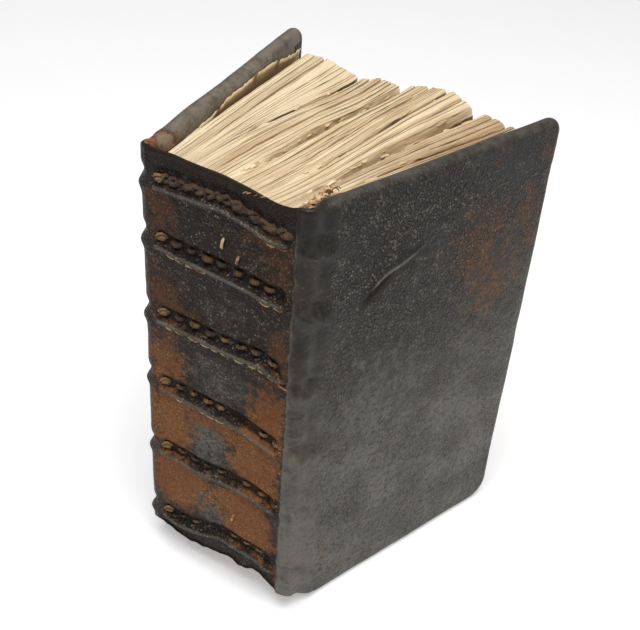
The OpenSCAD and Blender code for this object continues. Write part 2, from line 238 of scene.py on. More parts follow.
rng = random.Random(7)
leaves_bm = bmesh.new()
leaf_layer = leaves_bm.verts.layers.float_vector.new("leaf")
stain_and_shade_layer = leaves_bm.verts.layers.float.new("stain_and_shade")
spine_v = (block_low.y + 1.7 * MM - flank(FRONT, 0).y) / (LEAF_FORE - flank(FRONT, 0).y)
for bundle, (w0, w1) in enumerate(bundle_shares(rng)):
    jitter = rng.gauss(0, 0.03) + (rng.uniform(-0.35, 0.2) if rng.random() < 0.25 else 0)
    fore_jitter = MM * (rng.uniform(-0.35, 0.0) - 0.7 + 0.7 * noise.noise(Vector((w0 * 13, 2.0, 0.0))))
    browned = rng.random() ** 4
    slab = bmesh.ops.create_grid(leaves_bm, x_segments=DEPTH_STEPS, y_segments=HEIGHT_STEPS, size=0.5)
    verts = list(slab["verts"])
    faces = list(dict.fromkeys(face for vert in verts for face in vert.link_faces))
    for _ in range(THICK_STEPS):
        grown = bmesh.ops.extrude_face_region(leaves_bm, geom=faces)["geom"]
        faces = [part for part in grown if isinstance(part, bmesh.types.BMFace)]
        moved = [part for part in grown if isinstance(part, bmesh.types.BMVert)]
        bmesh.ops.translate(leaves_bm, vec=(0, 0, 1 / THICK_STEPS), verts=moved)
        verts += moved
    for vert in verts:
        v = spine_v + (1 - spine_v) * (vert.co.x + 0.5)
        h = 1 - (0.5 - vert.co.y) ** 2.2
        parted = 0.018 + 0.25 * max(0.0, noise.noise(Vector((bundle * 5.3, v * 5.0, 0.0)))) * h ** 8
        w = w0 + (w1 - w0) * (parted + (1 - 2 * parted) * vert.co.z)
        rounded = MM * 0.05 * abs(2 * vert.co.z - 1) ** 4
        vert.co = leaf_point(w, v, h, leaf_head(w, v, jitter, bundle) - rounded)
        vert.co.y += fore_jitter * max(0.0, v) ** 5
        # The third value is the depth below the heads, which the paper turns into painted shade and browning.
        vert[leaf_layer] = (w, v, leaf_head(w, v) - vert.co.z)
        front_stain = smooth_step(0.76, 0.90, w) * smooth_step(0.1, 0.6, v)
        vert[stain_and_shade_layer] = min(1, 0.5 * browned + 0.8 * front_stain)

# Crumbs of torn paper that lie along the widest openings
crumbs_bm = bmesh.new()
crumb_leaf = crumbs_bm.verts.layers.float_vector.new("leaf")
crumb_stain = crumbs_bm.verts.layers.float.new("stain_and_shade")
for _, fore, drop, _, reach in OPENINGS:
    for _ in range(int(CRUMBS_PER_MM * drop) if drop > 0.5 else 0):
        w, v = fore + reach * rng.choice((-1, 1)) * rng.uniform(0.8, 1.5), rng.uniform(0.06, 0.97)
        place = leaf_point(w, v, 1.0, leaf_head(w, v) - 0.08 * MM)
        size = Vector((rng.uniform(0.25, 0.55), rng.uniform(0.6, 2.6), rng.uniform(0.10, 0.22))) * MM
        lie = 0.35 * (0.5 - leaf_share(w, v)) + rng.uniform(-0.25, 0.25)
        turn = Matrix.Rotation(lie, 3, "Z") @ Matrix.Rotation(rng.uniform(-0.6, 0.6), 3, "Y")
        browned, seed = rng.random() ** 2, rng.random() * 50
        crumb = bmesh.ops.create_icosphere(crumbs_bm, subdivisions=2, radius=1.0)
        for vert in crumb["verts"]:
            lumpy = 1 + 0.7 * noise.noise(vert.co * 1.3 + Vector((seed, 0, 0)))
            vert.co = place + turn @ (vert.co * size * lumpy)
            vert[crumb_leaf] = (w, v, CRUMB_DROP)
            vert[crumb_stain] = 0.9 * browned
crumbs = bpy.data.meshes.new("crumbs")
crumbs_bm.to_mesh(crumbs)
crumbs_bm.free()
leaves_bm.from_mesh(crumbs)
bpy.data.meshes.remove(crumbs)
bmesh.ops.recalc_face_normals(leaves_bm, faces=leaves_bm.faces)


def add_piece(bm, name, material, smooth=True):
    mesh = bpy.data.meshes.new(name)
    bm.to_mesh(mesh)
    bm.free()
    for face in mesh.polygons:
        face.use_smooth = smooth
    mesh.materials.append(material)
    piece = bpy.data.objects.new(name, mesh)
    bpy.context.scene.collection.objects.link(piece)
    return piece


def new_material(name):
    material = bpy.data.materials.new(name)
    material.use_nodes = True
    tree = material.node_tree
    return material, tree, tree.nodes["Principled BSDF"]


def put(tree, kind, inputs=None, **settings):
    """Adds a shader node; an input that is a socket is linked, any other is set."""
    node = tree.nodes.new(kind)
    for name, value in settings.items():
        setattr(node, name, value)
    for key, value in (inputs or {}).items():
        if isinstance(value, bpy.types.NodeSocket):
            tree.links.new(value, node.inputs[key])
        else:
            node.inputs[key].default_value = value
    return node


def mix_colour(tree, factor, first, second):
    return put(tree, "ShaderNodeMix", {0: factor, 6: first, 7: second}, data_type="RGBA").outputs[2]


def ramp(tree, value, low, high, to_low=0.0, to_high=1.0):
    inputs = {"Value": value, "From Min": low, "From Max": high, "To Min": to_low, "To Max": to_high}
    return put(tree, "ShaderNodeMapRange", inputs, interpolation_type="SMOOTHSTEP").outputs["Result"]


def maths(tree, operation, first, second):
    return put(tree, "ShaderNodeMath", {0: first, 1: second}, operation=operation).outputs[0]


def weighted(tree, base, added, weight):
    return put(tree, "ShaderNodeMath", {0: added, 1: weight, 2: base}, operation="MULTIPLY_ADD").outputs[0]


def product(tree, first, second):
    return maths(tree, "MULTIPLY", first, second)


def stretched(tree, vector, factors):
    return put(tree, "ShaderNodeVectorMath", {0: vector, 1: factors}, operation="MULTIPLY").outputs[0]


def speckle(tree, vector, scale, detail=4.0, rough=0.55):
    inputs = {"Vector": vector, "Scale": scale, "Detail": detail, "Roughness": rough}
    return put(tree, "ShaderNodeTexNoise", inputs).outputs["Fac"]


def attribute(tree, name, kind="Fac"):
    return put(tree, "ShaderNodeAttribute", attribute_name=name).outputs[kind]


def object_place(tree):
    return put(tree, "ShaderNodeTexCoord").outputs["Object"]


def set_surface(tree, surface, colour, roughness, height, depth):
    bump = put(tree, "ShaderNodeBump", {"Height": height, "Distance": depth})
    tree.links.new(colour, surface.inputs["Base Color"])
    tree.links.new(roughness, surface.inputs["Roughness"])
    tree.links.new(bump.outputs["Normal"], surface.inputs["Normal"])


PAPER_CREAM = (0.70, 0.525, 0.31, 1)
PAPER_PALE = (0.88, 0.725, 0.49, 1)
PAPER_BROWN = (0.26, 0.14, 0.06, 1)
PAPER_STAIN = (0.36, 0.21, 0.10, 1)
PAPER_CRACK_SHADE = (0.11, 0.052, 0.02, 1)
PAPER_DEPTH = 0.4 * MM
CRACKS_ACROSS = 46.0

paper, tree, surface = new_material("old_rag_paper")
leaf = put(tree, "ShaderNodeSeparateXYZ", {0: attribute(tree, "leaf", "Vector")}).outputs
place = object_place(tree)
edge_place = put(tree, "ShaderNodeCombineXYZ", {
    "X": product(tree, leaf["X"], 190.0),
    "Y": product(tree, leaf["Y"], 4.0),
    "Z": product(tree, leaf["Z"], 30.0),
}).outputs[0]
edges = speckle(tree, edge_place, 1.0, 3.0, 0.6)
fibre = speckle(tree, place, 900.0, 5.0, 0.65)
blotch = speckle(tree, place, 60.0, 4.0)
streaks = speckle(tree, stretched(tree, edge_place, (0.22, 0.8, 0.1)), 1.0, 5.0, 0.65)
pale = maths(tree, "ADD", streaks, ramp(tree, leaf["X"], 0.34, 0.16, 0.0, 0.14))
colour = mix_colour(tree, ramp(tree, pale, 0.38, 0.62), PAPER_CREAM, PAPER_PALE)
colour = mix_colour(tree, ramp(tree, edges, 0.52, 0.68, 0.0, 0.26), colour, PAPER_BROWN)
# Painted shade: thin dark lines in the cracks between the leaves, kept off the outermost leaves and the most
# stained paper.
wavy = speckle(tree, stretched(tree, edge_place, (0.05, 0.5, 0.3)), 1.0, 3.0, 0.6)
leaf_count = weighted(tree, wavy, leaf["X"], CRACKS_ACROSS)
crack = put(
    tree, "ShaderNodeTexVoronoi", {"W": leaf_count, "Scale": 1.0},
    voronoi_dimensions="1D", feature="DISTANCE_TO_EDGE",
).outputs["Distance"]
runs = speckle(tree, stretched(tree, edge_place, (0.12, 0.45, 0.0)), 1.0, 2.0, 0.5)
crack_shade = product(tree, ramp(tree, crack, 0.02, 0.11, 0.9, 0.0), ramp(tree, runs, 0.44, 0.54))
inner_leaf = product(tree, ramp(tree, leaf["X"], 0.0, 0.006), ramp(tree, leaf["X"], 1.0, 0.994))
crack_shade = product(tree, crack_shade, inner_leaf)
stain_and_shade = attribute(tree, "stain_and_shade")
crack_shade = product(tree, crack_shade, ramp(tree, stain_and_shade, 0.9, 0.97, 1.0, 0.0))
colour = mix_colour(tree, crack_shade, colour, PAPER_CRACK_SHADE)
# Painted shade with browned edges: the paper goes brown with depth below the heads, down the sides of the
# clumps and into the openings, less at the fore-edge.
deep = ramp(tree, leaf["Z"], 0.0004, 0.0035, 0.0, 0.85)
deep = product(tree, deep, ramp(tree, leaf["Y"], 0.99, 0.94, 0.25, 1.0))
deep = product(tree, deep, ramp(tree, inner_leaf, 0.0, 1.0, 0.4, 1.0))
colour = mix_colour(tree, deep, colour, PAPER_BROWN)
stained = product(tree, stain_and_shade, ramp(tree, blotch, 0.25, 0.6, 0.35, 0.85))
colour = mix_colour(tree, stained, colour, PAPER_STAIN)
paper_height = maths(tree, "ADD", product(tree, edges, 0.8), product(tree, fibre, 0.1))
set_surface(tree, surface, colour, ramp(tree, fibre, 0.2, 0.8, 0.78, 0.95), paper_height, PAPER_DEPTH)
surface.inputs["Specular IOR Level"].default_value = 0.2

leaves = add_piece(leaves_bm, "leaves", paper, smooth=False)
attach(leaves, "book_block")
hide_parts("text_block")

# Hide: one skin of dark calf drawn wet over spine and boards and turned in round their edges.
# It is made as one sheet, measured across the book from the middle of the spine and up from
# the tail, in millimetres, and cut in three where the covers' leather laps onto the spine.
COVER_H = (cad_high.z - cad_low.z) / MM
COVER_W = 91.0
JOINT_S = 5.6
SHOULDER_R = 4.5
BOARD_ROLL = 2.5
SPINE_ROLL = 0.65
HEAD_CORNER_R = 4.0
TAIL_CORNER_R = 8.0
TURN_IN = 4.6
WRAP = math.pi * BOARD_ROLL + TURN_IN - BOARD_ROLL
BEND_FROM, BEND_TO = 3.6, 7.8
HIDE_DEPTH = 0.4 * MM

# Worn head and tail edges of the spine and the joints, as places across and heights up
HEAD_EDGE = (
    (-42, 149.7), (-36, 149.4), (-30, 149.6), (-22, 149.5), (-15, 149.9), (-8, 149.7), (0, 149.9),
    (5, 149.6), (8, 149.3), (13, 148.6), (17, 148.2), (21, 148.6), (24, 149.6), (30, 149.8), (42, 149.7),
)
TAIL_EDGE = (
    (-42, 0), (-38, 0.6), (-34, 3.6), (-30, 7.4), (-25, 10.0), (-21.8, 9.2), (-16.5, 7.7), (-10.5, 7.4),
    (-2.4, 8.7), (4.8, 10.3), (8.4, 9.0), (15.5, 11.0), (19.7, 9.0), (22.6, 7.7), (26, 7.4), (31, 4.6),
    (35, 2.2), (39, 0.5), (42, 0),
)
# The line of each band across the spine and down over the shoulders, lowest band first
BANDS = (
    ((-36, 11), (-30, 13.5), (-24, 15.2), (-16, 14.1), (-6, 15.8), (2.5, 19.0), (9, 18.5), (16, 18.4),
     (20, 16.9), (25, 16.6), (29, 14.0), (35.5, 10.6)),
    ((-35, 40), (-22, 43.2), (-13, 43.4), (-5, 43.1), (4, 44.5), (13.6, 44.6), (19, 43.4), (24, 43.1),
     (29.3, 41.2), (34, 38.8)),
    ((-35, 68), (-26, 70.1), (-19, 69.6), (-12, 69.8), (-2, 69.7), (5, 69.9), (13, 68.7), (19, 67.4),
     (23, 67.0), (27, 66.8), (33, 65.0)),
    ((-35, 92), (-24, 94.6), (-11.5, 95.4), (-2, 95.3), (7, 95.6), (14.4, 96.1), (22, 93.8), (27.5, 91.4),
     (33, 89.4)),
    ((-35, 117), (-24, 120.4), (-13.7, 119.9), (-6.5, 119.9), (4.6, 119.6), (10.5, 119.4), (15, 118.8),
     (21, 119.0), (27, 117.5), (32, 115.4)),
    ((-35, 136), (-22, 138.6), (-12.4, 139.3), (-5.6, 139.8), (1, 140.4), (9.5, 139.1), (16.3, 137.6),
     (22, 138.0), (28, 136.8), (33, 135.6)),
)
BAND_SPAN = [(min(z for _, z in band) - 6, max(z for _, z in band) + 9) for band in BANDS]
BAND_BELOW, BAND_ABOVE = 2.5, 7.5
TAIL_ROWS, HEAD_ROWS = (22, 8), 26
LAP, LAP_OVER = 23.8, 0.6
SPINE_STEPS = (128, 32, 20)
SKIN_STEPS = {FRONT: (200, 18, 18), BACK: (150, 14, 14)}

corner = {side: JOINT[side] - along(side, SPLAY[side]) * JOINT_S * MM for side in SPLAY}
spine_mid = (corner[FRONT] + corner[BACK]) / 2
half_spine = (corner[FRONT].x - corner[BACK].x) / 2 / MM
shoulder_run = {s: SHOULDER_R * (1 - math.sin(a)) / math.cos(a) for s, a in SPLAY.items()}
flat = {s: half_spine - shoulder_run[s] for s in SPLAY}
round_end = {s: flat[s] + SHOULDER_R * (math.pi / 2 - a) for s, a in SPLAY.items()}
fore_edge = {s: round_end[s] + COVER_W - shoulder_run[s] for s in SPLAY}


def side_of(q):
    return FRONT if q >= 0 else BACK


def board_s(q):
    """Distance along a cover from the corner of the spine, for a place across the hide."""
    side = side_of(q)
    return abs(q) - round_end[side] + shoulder_run[side]


def hide_frame(q):
    """Point on the plain face of the hide at tail level, with its outward and onward directions."""
    side = side_of(q)
    turn = min(max(0.0, abs(q) - flat[side]) / SHOULDER_R, math.pi / 2 - SPLAY[side])
    out = Vector((side * math.sin(turn), -math.cos(turn), 0))
    onward = Vector((math.cos(turn), side * math.sin(turn), 0))
    centre = spine_mid + Vector((side * min(abs(q), flat[side]), SHOULDER_R, 0)) * MM
    past = max(0.0, abs(q) - round_end[side])
    return centre + out * SHOULDER_R * MM + onward * side * past * MM, out, onward


def bell(value, width):
    return math.exp(-(value / width) ** 2)


def band_relief(n, q, z):
    """Raised lip of a band with the sewing channel above it, and its swelling over a shoulder."""
    dz = z - curve_at(BANDS[n], q)
    d = abs(q)
    lip_run = 1 - smooth_step(20.6, 22.4, d)
    channel_run = 1 - smooth_step(19.2, 21.6, d)
    on_joint = smooth_step(23.8, 26.5, d) * (1 - smooth_step(31.0, 37.0, d))
    lip = 1.5 * bell(dz, 0.75 if dz > 0 else 1.0)
    channel = -1.15 * smooth_step(0.3, 1.4, dz) * (1 - smooth_step(3.8, 6.0, dz))
    if n == len(BANDS) - 1:
        torn = noise.noise(Vector((q / 2.1, z / 1.7, 5.0))) + 0.6 * math.sin(1.5 * q + 0.7 * z)
        channel = -0.5 * smooth_step(0.4, 1.7, dz) * (1 - smooth_step(5.5, 7.0, dz))
        channel += 0.5 * torn * bell(dz - 3.6, 2.2)
    swelling = (1.25 if q > 0 else 0.8) * bell(dz + 0.3, 2.1) - 0.8 * bell(dz - 3.8, 1.7)
    return lip_run * lip + channel_run * channel + on_joint * swelling


def dent(s, z):
    """The slanting fold knocked into the front cover: a thin crest with a slit under it."""
    fold = ((14, 110), (21.8, 117.1), (27.6, 121.0), (32.5, 122.2), (36.6, 123.6), (39.9, 125.4), (46, 128))
    off = (z - curve_at(fold, s)) * 0.8
    raised = smooth_step(19.0, 25.0, s) * (1 - smooth_step(34.0, 45.0, s))
    slit = smooth_step(18.5, 22.5, s) * (1 - 0.7 * smooth_step(26.0, 32.0, s))
    slit *= 1 - smooth_step(36.0, 46.0, s)
    under = off + 1.3
    crest = 0.7 * raised * bell(off, 0.45 if off < 0 else 0.9)
    return crest - 1.5 * slit * bell(under, 0.8 if under > 0 else 2.0)


def cover_relief(side, s, z):
    """Soft hollows of a cover, and the dent in the front one."""
    h = 0.35 * noise.noise(Vector((s / 26, z / 26, side * 3.3)))
    h += 0.12 * noise.noise(Vector((s / 8, z / 8, side * 5.1)))
    return h + dent(s, z) if side == FRONT else h


def lap_edge(side, z):
    """Where the torn edge of a cover's leather lies on the spine."""
    ragged = 0.6 * noise.noise(Vector((z / 3.5, side, 3.0))) + 0.3 * noise.noise(Vector((z / 0.9, side, 8.0)))
    return (23.3 if side == FRONT else 26.6) + ragged


def relief(q, z):
    side = side_of(q)
    d, s = abs(q), board_s(q)
    on_cover = smooth_step(6.0, 14.0, s)
    h = on_cover * cover_relief(side, s, z)
    h += (1 - on_cover) * 0.16 * noise.noise(Vector((q / 9, z / 9, 2.0)))
    h += 0.05 * noise.noise(Vector((q / 2.3, z / 2.3, 8.0)))
    ragged_lap = lap_edge(side, z)
    h += 0.22 * smooth_step(ragged_lap - 0.4, ragged_lap + 0.4, d) * (1 - smooth_step(36, 42, d))
    h += 0.25 * bell(d - 26.0, 1.6) - 0.55 * bell(s - 5.0, 2.0) + 0.2 * bell(s - 9.5, 2.0)
    if d < 37:
        h += sum(band_relief(n, q, z) for n, (low, high) in enumerate(BAND_SPAN) if low < z < high)
    if z < 20:
        below = curve_at(BANDS[0], q) - 1.4 - z
        h -= 1.0 * smooth_step(0.0, 1.2, below) * (1 - smooth_step(21.5, 24.0, d))
    return h


def hide_edges(q):
    """Roll of the turned-in edge, and the heights of the head and tail edges, at one place across."""
    s, side = board_s(q), side_of(q)
    on_board = smooth_step(1.5, 7.0, s) if side == FRONT else smooth_step(-1.0, 6.0, s)
    roll = SPINE_ROLL + (BOARD_ROLL - SPINE_ROLL) * on_board
    sag = 0.5 * noise.noise(Vector((s / 22, side * 7.7, 0.4))) - 0.35
    head = curve_at(HEAD_EDGE, q) + min(0.0, sag) * on_board
    tail = curve_at(TAIL_EDGE, q) + (0.5 * noise.noise(Vector((q / 2.5, 6.1, 0))) if s < 3 else 0)
    return roll, head, tail


def hide_point(q, z, lift=0.0):
    """Place of a point of the sheet, given its flat place across and up, folded over the edges."""
    side = side_of(q)
    roll, head, tail = hide_edges(q)
    fore_q = fore_edge[side] - roll
    fore_out, head_out, tail_out = abs(q) - fore_q, z - (head - roll), (tail + roll) - z
    up = 1 if head_out > tail_out else -1
    end_out = max(head_out, tail_out)
    end_z = head - roll if up > 0 else tail + roll
    corner_r = (HEAD_CORNER_R if up > 0 else TAIL_CORNER_R) - roll
    edge_q, edge_z = q, z
    if fore_out > -corner_r and end_out > -corner_r:
        a, b = fore_out + corner_r, end_out + corner_r
        reach = max(math.hypot(a, b), 1e-6)
        beyond, mq, mz = reach - corner_r, side * a / reach, up * b / reach
        edge_q = side * (fore_q - corner_r) + mq * corner_r
        edge_z = end_z - up * corner_r + mz * corner_r
    elif fore_out > end_out:
        beyond, mq, mz, edge_q = fore_out, side, 0.0, side * fore_q
    else:
        beyond, mq, mz, edge_z = end_out, 0.0, up, end_z
    if beyond <= 0:
        point, out, onward = hide_frame(q)
        return point + Vector((0, 0, z * MM)) + out * (relief(q, z) + lift) * MM
    beyond = min(beyond, math.pi * roll + TURN_IN)
    angle = min(beyond / roll, math.pi)
    shift = roll * math.sin(angle) - max(0.0, beyond - math.pi * roll)
    point, out, onward = hide_frame(edge_q + mq * shift)
    normal = out * math.cos(angle) + (onward * mq + Vector((0, 0, mz))) * math.sin(angle)
    h = relief(edge_q, edge_z) * (0.3 + 0.7 * max(0.0, math.cos(angle))) + lift
    depth = roll * (1 - math.cos(angle))
    return point + Vector((0, 0, (edge_z + mz * shift) * MM)) - out * depth * MM + normal * h * MM


# Where the grain has gone: place across and up, reach across and up, and strength
SPINE_RUST = (
    (-20, 107, 7, 9, 0.6), (20, 103, 5, 10, 0.6), (-19, 82, 8, 10, 0.8), (18, 80, 8, 11, 0.8),
    (-18, 57, 9, 11, 1.0), (14, 56, 10, 12, 0.95), (-16, 32, 10, 11, 1.0), (12, 30, 10, 10, 1.0),
    (0, 38, 14, 5, 0.4), (18, 129, 6, 8, 0.5), (-19, 127, 7, 7, 0.6), (14, 137, 9, 3, 0.6),
    (-20, 135, 5, 3, 0.8), (0, 66, 16, 4, 0.5), (20, 12, 5, 5, 0.8), (0, 12, 16, 3, 0.3),
    (-12, 100, 9, 6, 0.35),
)
SPINE_WORN = (
    (2, 108, 12, 8, 0.25), (0, 82, 12, 9, 0.6), (-3, 57, 9, 10, 0.85), (-5, 32, 8, 8, 0.8),
    (10, 128, 9, 8, 0.1), (4, 28, 6, 7, 0.5),
)
FRONT_RUST = (
    (62, 115, 14, 11, 0.46), (72, 98, 12, 13, 0.42), (87, 108, 7, 14, 0.25), (84, 126, 7, 12, 0.3),
    (77, 41, 8, 9, 0.3), (45, 146.5, 3, 2.0, 0.5), (65, 144, 3, 2.0, 0.5), (87, 141, 3, 3, 0.5),
    (14, 20, 5, 6, 0.3), (33, 133, 9, 7, 0.2), (26, 10, 10, 4, 0.25), (62, 128, 16, 8, 0.3),
    (50, 70, 20, 14, 0.12),
)


def patches(spots, q, z):
    return sum(
        strength * bell(math.hypot((q - mid_q) / reach_q, (z - mid_z) / reach_z), 1.0)
        for mid_q, mid_z, reach_q, reach_z, strength in spots
    )


def wear(q, z):
    """Rust, grey wear with painted sheen, depth of grain and dust at a place on the hide."""
    side = side_of(q)
    d, s = abs(q), board_s(q)
    lap = lap_edge(side, z)
    on_spine = 1 - smooth_step(lap - 0.2, lap + 0.2, d)
    on_cover = smooth_step(4.0, 12.0, s)
    if side == FRONT:
        cover_rust = patches(FRONT_RUST, s, z)
    else:
        cover_rust = 0.35 * smooth_step(0.15, 0.5, noise.noise(Vector((s / 24, z / 24, 6.0))))
    rust = on_spine * patches(SPINE_RUST, q, z) + on_cover * cover_rust
    edge = max(bell(z - COVER_H, 3.5), bell(z, 3.5), bell(d - fore_edge[side], 3.5)) * on_cover
    worn = on_spine * patches(SPINE_WORN, q, z) + 0.3 * edge
    # Painted sheen: off the spine the hide turns lighter grey towards the tail.
    worn += (1 - on_spine) * (0.1 + 0.75 * (1 - smooth_step(15, 140, z))) * (0.82 + 0.18 * on_cover)
    worn += 0.3 * bell(d - lap - 0.3, 0.6)
    grain = on_cover * (0.5 + 0.5 * smooth_step(75, 130, z) * (1 - smooth_step(45, 80, s)))
    grain = max(grain, 0.3 * on_cover, 0.55 * on_spine) * (1 - 0.85 * smooth_step(COVER_H - 3.0, COVER_H, z))
    if side == FRONT:
        grain *= 1 - min(1, 1.8 * abs(dent(s, z)))
    turned = smooth_step(COVER_H - 3.0, COVER_H + 2.0, z) * on_cover
    dust = turned * (0.6 if side == BACK else 0.1)
    return min(1, rust), min(1, worn), min(1, grain), dust


def row_stops(q):
    """Heights that rows of the sheet pass through at one place across, so that they follow the bands."""
    _, head, tail = hide_edges(q)
    lines = [curve_at(band, q) for band in BANDS]
    by_bands = [z + step for z in lines for step in (-BAND_BELOW, BAND_ABOVE)]
    return [tail - WRAP, tail + 1.0] + by_bands + [head + WRAP]


def hide_sheet(q_from, q_to, across_steps, band_rows, panel_rows):
    """Stretch of the hide between two places across, with the wear at each point."""
    rows_between = [*TAIL_ROWS] + [band_rows, panel_rows] * (len(BANDS) - 1) + [band_rows, HEAD_ROWS]
    rows = [(n, k / count) for n, count in enumerate(rows_between) for k in range(count)]
    rows.append((len(rows_between) - 1, 1.0))
    bm = bmesh.new()
    place_layer = bm.verts.layers.float_vector.new("sheet")
    layers = [bm.verts.layers.float.new(name) for name in ("rust", "worn", "grain", "dust", "relief")]
    bmesh.ops.create_grid(bm, x_segments=across_steps, y_segments=len(rows) - 1, size=0.5)
    stops = [row_stops(q_from + (q_to - q_from) * k / across_steps) for k in range(across_steps + 1)]
    for vert in bm.verts:
        q = q_from + (q_to - q_from) * (vert.co.x + 0.5)
        here = stops[round((vert.co.x + 0.5) * across_steps)]
        n, share = rows[round((vert.co.y + 0.5) * (len(rows) - 1))]
        z = here[n] + (here[n + 1] - here[n]) * share
        height = relief(q, z)
        vert[place_layer] = (q * MM, z * MM, height * MM)
        # The relief kept here also sets colour: raised lips and the dent's crest go grey, partly rubbed wear
        # and partly painted highlight; hollows go near black, partly dirt and partly painted shade.
        wear_and_painted_light = height if abs(q) < LAP else 0.4 * height + (1.6 * dent(board_s(q), z) if q > 0 else 0)
        for layer, value in zip(layers, (*wear(q, z), wear_and_painted_light)):
            vert[layer] = value
        vert.co = hide_point(q, z)
    bmesh.ops.remove_doubles(bm, verts=bm.verts, dist=0.002 * MM)
    bmesh.ops.recalc_face_normals(bm, faces=bm.faces)
    return bm


HIDE_BLACK = (0.012, 0.0105, 0.0085, 1)
HIDE_GREY = (0.160, 0.150, 0.122, 1)
HIDE_DUST_AND_GLINT = (0.30, 0.25, 0.20, 1)
HIDE_RUST = (0.52, 0.205, 0.055, 1)
HIDE_RED = (0.25, 0.085, 0.026, 1)
HIDE_UMBER = (0.105, 0.044, 0.019, 1)
HIDE_GLINT = (0.36, 0.33, 0.29, 1)
CHANNEL_BLACK = (0.018, 0.012, 0.008, 1)


# Worn calf, shared by the spine and the covers: pebbled, black to brown, rubbed grey, and gone to
# rust in places. Light and shade are painted in too: painted sheen lighter towards the tail of the covers,
# painted highlight on raised lips, the dent's crest and pebble tops, and painted shade in the channels,
# the dent's slit and the creases between pebbles. Mottle is how broken the rust is, and the painted
# glints lie where the grain is deep.
calf_group = bpy.data.node_groups.new("worn_calf", "ShaderNodeTree")
for name in ("Dark", "Brown"):
    calf_group.interface.new_socket(name, in_out="INPUT", socket_type="NodeSocketColor")
for name in ("Mottle", "Rust Spread", "Rustiest", "Glint From", "Glint To"):
    calf_group.interface.new_socket(name, in_out="INPUT", socket_type="NodeSocketFloat")
calf_group.interface.new_socket("Colour", in_out="OUTPUT", socket_type="NodeSocketColor")
for name in ("Roughness", "Height"):
    calf_group.interface.new_socket(name, in_out="OUTPUT", socket_type="NodeSocketFloat")

tree = calf_group
given = put(tree, "NodeGroupInput").outputs
mottle = given["Mottle"]
mottle_squared = product(tree, mottle, mottle)
sheet = attribute(tree, "sheet", "Vector")
up = put(tree, "ShaderNodeSeparateXYZ", {0: sheet}).outputs["Y"]
height, grain, worn, rust, dust = (
    attribute(tree, name) for name in ("relief", "grain", "worn", "rust", "dust")
)
broad = speckle(tree, sheet, 45.0, 5.0, 0.6)
middling = speckle(tree, sheet, 210.0, 6.0, 0.68)
small = speckle(tree, sheet, 560.0, 5.0, 0.7)
fine = speckle(tree, sheet, 1300.0, 3.0, 0.6)
wander = put(tree, "ShaderNodeTexNoise", {"Vector": sheet, "Scale": 700.0}).outputs["Color"]
wander = stretched(tree, wander, (0.0009, 0.0009, 0.0))
uneven = put(tree, "ShaderNodeVectorMath", {0: sheet, 1: wander}, operation="ADD").outputs[0]
pebble = put(
    tree, "ShaderNodeTexVoronoi", {"Vector": uneven, "Scale": 820.0}, feature="DISTANCE_TO_EDGE",
).outputs["Distance"]
patchy = product(tree, ramp(tree, broad, 0.38, 0.56, 0.25, 1.0), grain)
creases = product(tree, ramp(tree, pebble, 0.34, 0.0), patchy)
tops = product(tree, ramp(tree, pebble, 0.12, 0.36, 0.0, 0.55), patchy)

colour = mix_colour(tree, ramp(tree, broad, 0.35, 0.7), given["Dark"], given["Brown"])
# Grey where rubbed, and off the spine lighter towards the tail as painted sheen.
wear_and_painted_light = ramp(tree, weighted(tree, worn, middling, 1.1), 0.60, 1.35)
colour = mix_colour(tree, wear_and_painted_light, colour, HIDE_GREY)
rust_field = weighted(tree, rust, middling, product(tree, mottle, 1.5))
rust_field = weighted(tree, rust_field, small, product(tree, mottle, 0.6))
rust_from = maths(tree, "ADD", product(tree, mottle, 1.05), 0.17)
rust_to = maths(tree, "ADD", rust_from, given["Rust Spread"])
rust_at = ramp(tree, rust_field, rust_from, rust_to, 0.0, given["Rustiest"])
rust_tone = mix_colour(tree, ramp(tree, broad, 0.38, 0.62), HIDE_RED, HIDE_RUST)
darker_up = ramp(tree, up, 0.068, 0.108, 0.0, product(tree, mottle_squared, 0.9))
rust_tone = mix_colour(tree, darker_up, rust_tone, HIDE_UMBER)
colour = mix_colour(tree, rust_at, colour, rust_tone)
flecks = product(tree, ramp(tree, small, 0.60, 0.68), ramp(tree, broad, 0.4, 0.6, 0.15, 0.7))
colour = mix_colour(tree, flecks, colour, HIDE_RED)
colour = mix_colour(tree, ramp(tree, broad, 0.52, 0.68, 0.0, 0.5), colour, given["Brown"])
pits = product(tree, ramp(tree, small, 0.53, 0.38, 0.0, 0.85), ramp(tree, grain, 0.2, 0.7, 0.35, 1.0))
pits = product(tree, pits, maths(tree, "SUBTRACT", 1.0, product(tree, rust_at, 0.6)))
colour = mix_colour(tree, pits, colour, HIDE_BLACK)
# Raised lips and the dent's crest lighter grey: rubbed wear and painted highlight. Channels and the dent's
# slit near black: dirt and painted shade.
colour = mix_colour(tree, ramp(tree, height, 0.55, 1.2, 0.0, 0.75), colour, HIDE_GREY)
colour = mix_colour(tree, ramp(tree, height, -0.2, -0.95, 0.0, 0.85), colour, CHANNEL_BLACK)
# Painted highlight on the pebble tops and painted shade in the creases between them.
colour = mix_colour(tree, tops, colour, HIDE_GREY)
colour = mix_colour(tree, product(tree, creases, 0.85), colour, HIDE_BLACK)
colour = mix_colour(tree, ramp(tree, fine, 0.57, 0.68, 0.0, 0.4), colour, HIDE_BLACK)
# Painted glints: light specks on the deep grain, standing in for the lamp's reflection on the pebbles.
glints = product(tree, ramp(tree, fine, 0.44, 0.34), ramp(tree, middling, 0.48, 0.60, 0.0, 0.55))
glints = product(tree, glints, ramp(tree, grain, 0.3, 0.6))
colour = mix_colour(tree, glints, colour, HIDE_DUST_AND_GLINT)
